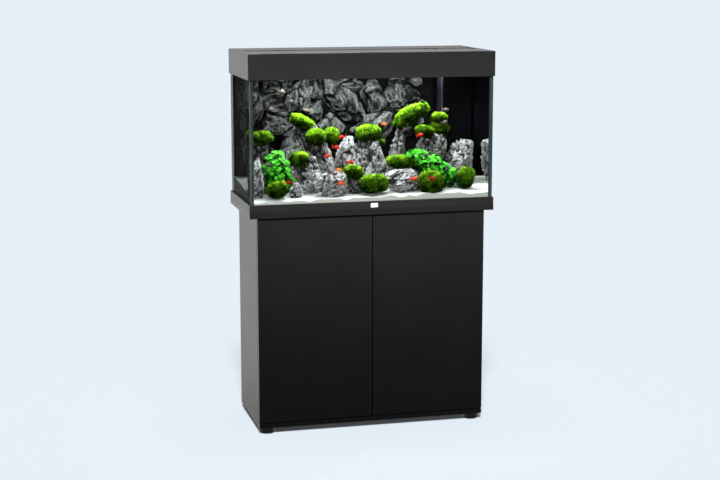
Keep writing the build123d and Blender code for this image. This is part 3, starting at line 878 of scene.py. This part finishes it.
# Centre and size in mm across the wall, lean in degrees, and how much painted shade darkens each boulder
wallBoulders = [
    ((-345, 1075), (80, 190), 4, 0.1), ((-262, 1110), (110, 80), 20, 0.1),
    ((-250, 985), (150, 100), -12, 0.1), ((-195, 1068), (140, 95), 38, 0.0),
    ((-140, 1030), (85, 85), -20, 0.0), ((-35, 1050), (235, 100), -36, 0.0),
    ((-40, 1120), (150, 80), -14, 0.0), ((-80, 975), (90, 110), 30, 0.0),
    ((55, 1070), (90, 120), 8, 0.0), ((135, 1070), (125, 110), -24, 0.0),
    ((175, 1130), (130, 70), 6, 0.0), ((60, 960), (190, 120), 10, 0.0),
    ((185, 985), (120, 130), -8, 0.0), ((-330, 880), (130, 140), 10, 0.1),
    ((-170, 880), (200, 130), -6, 0.0), ((-283, 1050), (98, 88), 15, 0.24),
    ((-140, 1106), (80, 98), -10, 0.14), ((186, 1078), (84, 84), 5, 0.14),
    ((-312, 1120), (74, 100), -5, 0.28),
]
wallTones = {
    "dark": (0.0010, 0.0010, 0.0010),
    "mid": (0.029, 0.0295, 0.0285),
    "pale": (0.118, 0.119, 0.116),
    "tint": (0.74, 0.76, 0.74),
    "fine": 1.25,
}
wallCut = {
    "boxy": 3.2, "facets": 12, "reach": (0.62, 0.93),
    "strata": 48, "squeeze": 0.4, "chunk": 0.3, "cracks": 0.5, "broad": 0.12, "depth": 0.012,
    "level": 0.54, "contrast": 0.75, "outline": 0.55, "shade": 0.25,
}
members = []
for number, ((x, z), (wide, high), lean, paintedShade) in enumerate(wallBoulders):
    fine = z > wallSetup["fineAbove"] and wide > wallSetup["fineWidth"]
    stone = ball(6 if fine else 5)
    size = np.array((wide, wallSetup["bulk"] * min(wide, high), high)) / perMetre
    place = Vector((x, wallSetup["middle"], z)) / perMetre
    # painted shade: the boulders at the left end and the fills set back between the others are darker
    cut = dict(wallCut, level=wallCut["level"] - paintedShade)
    carve(stone, size, lean, place, wallSetup["firstSeed"] + number, cut)
    openMesh(stone)
    behind = (0, wallSetup["back"] - wallSetup["trim"], 0)
    bpy.ops.mesh.bisect(plane_co=behind, plane_no=(0, 1, 0), use_fill=True, clear_outer=True)
    closeMesh()
    members.append(stone)
slab = block(
    (
        (wallSetup["left"] + wallSetup["right"]) / 2,
        wallSetup["back"] - wallSetup["thick"] / 2,
        (wallSetup["bottom"] + wallSetup["top"]) / 2,
    ),
    (wallSetup["right"] - wallSetup["left"], wallSetup["thick"], wallSetup["top"] - wallSetup["bottom"]),
)
openMesh(slab)
bpy.ops.mesh.subdivide(number_cuts=wallSetup["cuts"])
closeMesh()
points = readPoints(slab)
relief = np.zeros(len(points))
for index, point in enumerate(points):
    relief[index] = 0.05 + 0.1 * noise.fractal(Vector(point * wallSetup["rough"]), 0.9, 2.0, 4)
    if point[1] < wallSetup["back"] - wallSetup["frontFrom"]:
        point[1] += wallSetup["sunk"] * relief[index]
writePoints(slab, points)
# painted shade: the slab between the boulders is darkened
store(slab, "relief", relief - wallSetup["paintedShade"])
wallRock = rockLook("wallRock", **wallTones)
settle(joined("rockWall", members + [slab]), wallRock, ["rock_background"])

# Moss cushions: a soft body under short three-sided blades
mossSetup = {
    "firstSeed": 40,
    "blades": 2400,  # on a cushion that is 100 mm long
    "long": 0.0072,
    "wide": 0.0017,
    "cover": 0.7,  # how much of a blade's length the body leaves free
    "spread": 0.45,
    "body": 0.88,
    "swell": 0.15,
    "swellScale": 38,
    "broad": 0.2,
    "broadScale": 15,
    "tone": 0.42,
    "paintedTopLight": 0.28,
    "swellTone": 0.4,
    "toneJitter": 0.35,
    "wideSpan": (0.7, 1.3),
    "longSpan": (0.6, 1.3),
}


def mossLook():
    look = Look("moss")
    fuzz = look.grain(330, detail=4, rough=0.75)
    patch = look.grain(75)
    height = look.attribute("share") + 1.8 * (fuzz - 0.5) + 0.7 * (patch - 0.5) - 0.03
    stops = (
        (0.05, (0.001, 0.005, 0.0003)),
        (0.42, (0.017, 0.060, 0.001)),
        (0.72, (0.074, 0.185, 0.003)),
        (1.0, (0.23, 0.40, 0.012)),
    )
    return look.surface(
        colour=look.ramp(height, *stops),
        rough=0.8 + 0.2 * fuzz,
        specular=0.02,
        normal=look.bump(fuzz, strength=0.6, distance=0.002),
    )


def cushionBody(place, size, lean, boxy, rng):
    cushion = ball(5)
    points = squared(readPoints(cushion), boxy)
    half = np.array(size) / (2 * perMetre) - mossSetup["long"] * mossSetup["cover"]
    turn = leaning(lean)
    shares = np.zeros(len(points))
    shift = farOff(rng)
    for index, point in enumerate(points):
        local = Vector(point * half)
        swell = noise.fractal(local * mossSetup["swellScale"] + shift, 0.75, 2.1, 4)
        broad = noise.noise(local * mossSetup["broadScale"] + shift)
        # painted light and shade: each cushion is lighter at the top and darker underneath
        shares[index] = mossSetup["tone"] + mossSetup["paintedTopLight"] * point[2] + mossSetup["swellTone"] * swell
        grown = mossSetup["body"] + mossSetup["swell"] * swell + mossSetup["broad"] * broad
        points[index] = np.array(turn @ (local * grown)) + np.array(place) / perMetre
    writePoints(cushion, points)
    shares = np.clip(shares, 0, 1)
    store(cushion, "share", shares)
    return cushion, shares


def bladeSpots(cushion, shares, count, rng):
    faces = cushion.data.polygons
    spots = []
    for index in rng.sample(range(len(faces)), min(len(faces), count)):
        face = faces[index]
        jitter = Vector([rng.gauss(0, 1) for axis in range(3)]) * mossSetup["spread"]
        upright = uprightOn((face.normal + jitter).normalized())
        wide = mossSetup["wide"] * rng.uniform(*mossSetup["wideSpan"])
        long = mossSetup["long"] * rng.uniform(*mossSetup["longSpan"])
        share = float(shares[face.vertices[0]])
        share += rng.uniform(-mossSetup["toneJitter"], mossSetup["toneJitter"])
        sized = Matrix.Diagonal((wide, wide, long, 1))
        spots.append((Matrix.Translation(face.center) @ upright @ sized, clamped(share)))
    return spots


freshStart()
bpy.ops.mesh.primitive_cone_add(
    vertices=3, radius1=1, radius2=0, depth=1, end_fill_type="NOTHING", location=(0, 0, 0.5)
)
blade = intoMesh()
members, spots = [], []
for number, (place, size, lean, boxy) in enumerate(mossPlaces):
    rng = random.Random(mossSetup["firstSeed"] + number)
    cushion, shares = cushionBody(place, size, lean, boxy, rng)
    members.append(cushion)
    spots.extend(bladeSpots(cushion, shares, int(mossSetup["blades"] * max(size) / 100), rng))
members.append(copiesOf(blade, "blades", spots))
bpy.data.objects.remove(blade)
settle(joined("mossCushions", members), mossLook(), ["moss_cushions"])

# Leafy plants: places and sizes in mm
plants = {
    "leftPlant": {
        "node": "left_plant", "place": (-300, -62, 842), "size": (128, 84, 160), "lean": 0,
        # lift is painted light that lightens a whole plant
        "leaves": 480, "lift": 0.25, "taper": 0.28, "seed": 5,
    },
    "rightPlant": {
        "node": "right_plant", "place": (229, -62, 844), "size": (226, 80, 88), "lean": -30,
        "leaves": 600, "lift": 0.0, "taper": 0.0, "seed": 6,
    },
}
leafSetup = {
    "corners": 9,
    "cup": 0.22,
    "point": -1.25,
    "radius": (0.0044, 0.0070),
    "inset": 0.006,
    "forward": 0.4,  # more leaves on the side of the front glass
    "shell": (0.6, 1.05),
    "outermost": 1.04,
    "bulge": 0.12,
    "bulgeScale": 2.4,
    "nod": ((-0.7, 0.7), (-0.9, 0.3), (0.1, 1.0)),
    "fullTurn": 6.28,
    "tone": -0.95,
    "paintedOuterLight": 1.4,
    "paintedTopLight": 0.2,
    "toneJitter": 0.6,
    "perStem": 4,  # leaves
    "stemRadius": 0.0009,
    "stemShare": 0.35,
    "stemSplay": 0.8,
    "rootDepth": 0.004,
}


def leafLook():
    look = Look("leaf")
    vein = look.grain(160, rough=0.6)
    height = look.attribute("share") + 0.3 * (vein - 0.5)
    stops = ((0.30, (0.001, 0.008, 0.001)), (0.60, (0.004, 0.088, 0.002)), (0.92, (0.065, 0.48, 0.020)))
    return look.surface(
        colour=look.ramp(height, *stops),
        rough=0.35 + 0.25 * vein,
        specular=0.05,
        normal=look.bump(vein, strength=0.3, distance=0.001),
    )


def leafModel():  # a cupped disc with one pointed end
    freshStart()
    bpy.ops.mesh.primitive_circle_add(
        vertices=leafSetup["corners"], radius=1, fill_type="TRIFAN", location=(0, 0, 0)
    )
    leaf = bpy.context.object
    points = readPoints(leaf)
    for point in points:
        point[2] = leafSetup["cup"] * (point[0] ** 2 + point[1] ** 2)
        if point[1] < -0.8:
            point[1] = leafSetup["point"]
    writePoints(leaf, points)
    return leaf


def stemTo(head, centre):  # from the sand up to a leaf
    splay = leafSetup["stemSplay"]
    root = Vector((head.x, head.y, 0)) * splay + Vector((centre.x, centre.y, 0)) * (1 - splay)
    root.z = sandHeight(root.x, root.y) - leafSetup["rootDepth"]
    sized = Matrix.Diagonal((leafSetup["stemRadius"], leafSetup["stemRadius"], (head - root).length, 1))
    return Matrix.Translation(root) @ uprightOn(head - root) @ sized


leaf = leafModel()
freshStart()
bpy.ops.mesh.primitive_cylinder_add(
    vertices=5, radius=1, depth=1, end_fill_type="NOTHING", location=(0, 0, 0.5)
)
stem = intoMesh()
leafFinish = leafLook()
for plantName, plant in plants.items():
    rng = random.Random(plant["seed"])
    turn = leaning(plant["lean"])
    centre = Vector(plant["place"]) / perMetre
    half = Vector(plant["size"]) / (2 * perMetre) - Vector([leafSetup["inset"]] * 3)
    leaves, stems = [], []
    for step in range(plant["leaves"]):
        way = Vector((rng.gauss(0, 1), rng.gauss(0, 1) - leafSetup["forward"], rng.gauss(0, 1))).normalized()
        depth = rng.uniform(*leafSetup["shell"])
        lump = noise.noise(way * leafSetup["bulgeScale"] + Vector((plant["seed"], 0, 0)))
        out = min(leafSetup["outermost"], depth * (1 + leafSetup["bulge"] * lump))
        local = Vector((way.x * half.x, way.y * half.y, way.z * half.z)) * out
        local.x *= 1 - plant["taper"] * way.z
        head = centre + turn @ local
        nod = Vector([rng.uniform(*span) for span in leafSetup["nod"]])
        spin = Matrix.Rotation(rng.uniform(0, leafSetup["fullTurn"]), 4, "Z")
        scale = Matrix.Scale(rng.uniform(*leafSetup["radius"]), 4)
        # painted light and shade: outer and higher leaves are lighter, the inner ones darker
        share = leafSetup["paintedOuterLight"] * depth + leafSetup["tone"] + leafSetup["paintedTopLight"] * way.z
        # lift adds painted light to the whole plant
        share += rng.uniform(0, leafSetup["toneJitter"]) + plant["lift"]
        facing = uprightOn((way + nod).normalized())
        leaves.append((Matrix.Translation(head) @ facing @ spin @ scale, clamped(share)))
        if step % leafSetup["perStem"] == 0:
            stems.append((stemTo(head, centre), leafSetup["stemShare"]))
    clump = [copiesOf(leaf, plantName, leaves), copiesOf(stem, "stems", stems)]
    settle(joined(plantName, clump), leafFinish, [plant["node"]])
bpy.data.objects.remove(leaf)
bpy.data.objects.remove(stem)

# Fish: places in mm
fishSetup = {
    "redFish": {
        "colours": ((0.26, 0.005, 0.003), (0.60, 0.03, 0.008), (0.75, 0.24, 0.03)),
        "length": 0.030,
        "places": [
            (52, -90, 996), (-83, -60, 954), (-105, -80, 923), (-138, -95, 897), (-67, -135, 879),
            (-107, -140, 855), (-275, -158, 823), (-104, -160, 814), (178, -70, 955), (138, -155, 820),
            (197, -165, 820),
        ],
    },
    "paleFish": {
        "colours": ((0.02, 0.017, 0.014), (0.07, 0.055, 0.045), (0.14, 0.10, 0.085)),
        "length": 0.027,
        "places": [
            (-232, -40, 924), (207, -60, 935), (230, -80, 903), (303, -80, 902), (263, -60, 994),
            (-332, -120, 876), (-140, -160, 851), (-243, -140, 836), (-267, 20, 1100), (-235, 40, 1066),
            (-303, 20, 1045), (-270, 0, 987), (-184, 30, 1037), (185, -60, 1064), (276, -20, 1032),
        ],
    },
}
fishForm = {  # sizes are shares of the fish's length
    "body": 0.76,
    "high": 0.40,
    "highLoss": 0.26,
    "thick": 0.24,
    "thickLoss": 0.18,
    "sheet": 0.02,
    "tail": {"from": 0.34, "long": 0.22, "notch": 0.1, "root": 0.12, "flare": 0.42},
    "fin": {"from": -0.02, "long": 0.26, "rake": 0.08, "low": 0.15, "high": 0.14, "round": 1.6},
    "swerve": 0.5,  # radians
    "tilt": 0.25,
    "sizes": (0.85, 1.1),
}


def fishLook(name, dark, mid, pale):
    look = Look(name)
    scales = look.cells(700)
    blush = look.grain(90, detail=2)
    tone = 0.5 * look.attribute("share") + 0.5 * blush + 0.2 * scales
    return look.surface(
        colour=look.ramp(tone, (0.25, dark), (0.6, mid), (0.85, pale)),
        rough=0.3 + 0.25 * scales,
        specular=0.08,
        normal=look.bump(scales, strength=0.25, distance=0.0006),
    )


def fishSheet(columns, rows):  # an upright grid, one unit long and high
    freshStart()
    bpy.ops.mesh.primitive_grid_add(
        x_subdivisions=columns, y_subdivisions=rows, size=1, location=(0, 0, 0), rotation=(math.pi / 2, 0, 0)
    )
    return intoMesh()


def fishModel():
    freshStart()
    bpy.ops.mesh.primitive_uv_sphere_add(
        segments=12, ring_count=8, radius=0.5, location=(0, 0, 0), rotation=(0, math.pi / 2, 0)
    )
    body = intoMesh()
    points = readPoints(body)
    for point in points:
        along = point[0] + 0.5  # nose at 0, tail at 1
        tailward = max(0.0, (along - 0.5) / 0.5)
        point[2] *= fishForm["high"] - fishForm["highLoss"] * tailward
        point[1] *= fishForm["thick"] - fishForm["thickLoss"] * tailward
        point[0] *= fishForm["body"]
    writePoints(body, points)
    tail = fishSheet(3, 3)
    shape = fishForm["tail"]
    points = readPoints(tail)
    for point in points:
        along = point[0] + 0.5
        point[2] *= shape["root"] + shape["flare"] * along
        notch = shape["notch"] * along * (1 - 2 * abs(point[2]))
        point[0] = shape["from"] + shape["long"] * along - notch
    writePoints(tail, points)
    fin = fishSheet(4, 2)
    shape = fishForm["fin"]
    points = readPoints(fin)
    for point in points:
        rise = point[2] + 0.5
        point[0] = shape["from"] + shape["long"] * point[0] + shape["rake"] * rise
        point[2] = shape["low"] + shape["high"] * rise * (1 - abs(point[0]) * shape["round"])
    writePoints(fin, points)
    for sheet in (tail, fin):
        pick(sheet)
        bpy.ops.object.modifier_add(type="SOLIDIFY")
        sheet.modifiers[0].thickness = fishForm["sheet"]
        sheet.modifiers[0].offset = 0
        bpy.ops.object.modifier_apply(modifier=sheet.modifiers[0].name)
    return joined("fishModel", [body, tail, fin])


model = fishModel()
for fishName, fish in fishSetup.items():
    rng = random.Random(len(fishName))
    spots = []
    for place in fish["places"]:
        heading = rng.choice((0, math.pi)) + rng.uniform(-fishForm["swerve"], fishForm["swerve"])
        tilt = rng.uniform(-fishForm["tilt"], fishForm["tilt"])
        pose = Matrix.Rotation(heading, 4, "Z") @ Matrix.Rotation(tilt, 4, "Y")
        scale = Matrix.Scale(fish["length"] * rng.uniform(*fishForm["sizes"]), 4)
        spots.append((Matrix.Translation(Vector(place) / perMetre) @ pose @ scale, rng.random()))
    settle(copiesOf(model, fishName, spots), fishLook(fishName, *fish["colours"]))
bpy.data.objects.remove(model)

# Bare badge plate on the base frame
badgeSetup = {
    "place": (0.0015, -0.17967, 0.7425),
    "size": (0.0235, 0.0007, 0.0135),
    "bevel": 0.0003,
    "bevelSteps": 2,
}


def badgeLook():
    look = Look("badgePlate")
    brush = look.grain(700, vector=look.place((0.05, 1, 1)))
    return look.surface(
        colour=look.ramp(brush, (0.2, (0.36, 0.365, 0.37)), (0.8, (0.46, 0.465, 0.47))),
        metal=0.2,
        rough=0.35 + 0.2 * brush,
        normal=look.bump(brush, strength=0.05, distance=0.0002),
    )


badge = block(badgeSetup["place"], badgeSetup["size"])
bpy.ops.object.modifier_add(type="BEVEL")
badge.modifiers[0].width = badgeSetup["bevel"]
badge.modifiers[0].segments = badgeSetup["bevelSteps"]
bpy.ops.object.modifier_apply(modifier=badge.modifiers[0].name)
badge.name = "badgePlate"
settle(badge, badgeLook(), smooth=False)

# The studio lamps leave the planted tank to its own tubes, and the floor to its sun
plantedNames = (
    "water", "sand", "leftrocks", "centrerocks", "rightrocks", "rockWall", "mossCushions",
    "leftPlant", "rightPlant", "redFish", "paleFish", "floor",
)


def lightGroup(name, pieceNames, state):  # state: INCLUDE lights these alone, EXCLUDE all but these
    group = bpy.data.collections.new(name)
    for pieceName in pieceNames:
        group.objects.link(bpy.data.objects[pieceName])
    for entry in group.collection_objects:
        entry.light_linking.link_state = state
    return group


def lightOnly(lampNames, group):
    for lampName in lampNames:
        bpy.data.objects[lampName].light_linking.receiver_collection = group


lightOnly(("frontKey", "leftBox", "topFill"), lightGroup("planted", plantedNames, "EXCLUDE"))
lightOnly(("floorSun",), lightGroup("floorOnly", ("floor",), "INCLUDE"))
lightOnly(("tubeLamp0", "tubeLamp1"), lightGroup("allButFloor", ("floor",), "EXCLUDE"))
lightOnly(("sandGlow",), lightGroup("sandOnly", ("sand",), "INCLUDE"))
print("lamps linked")
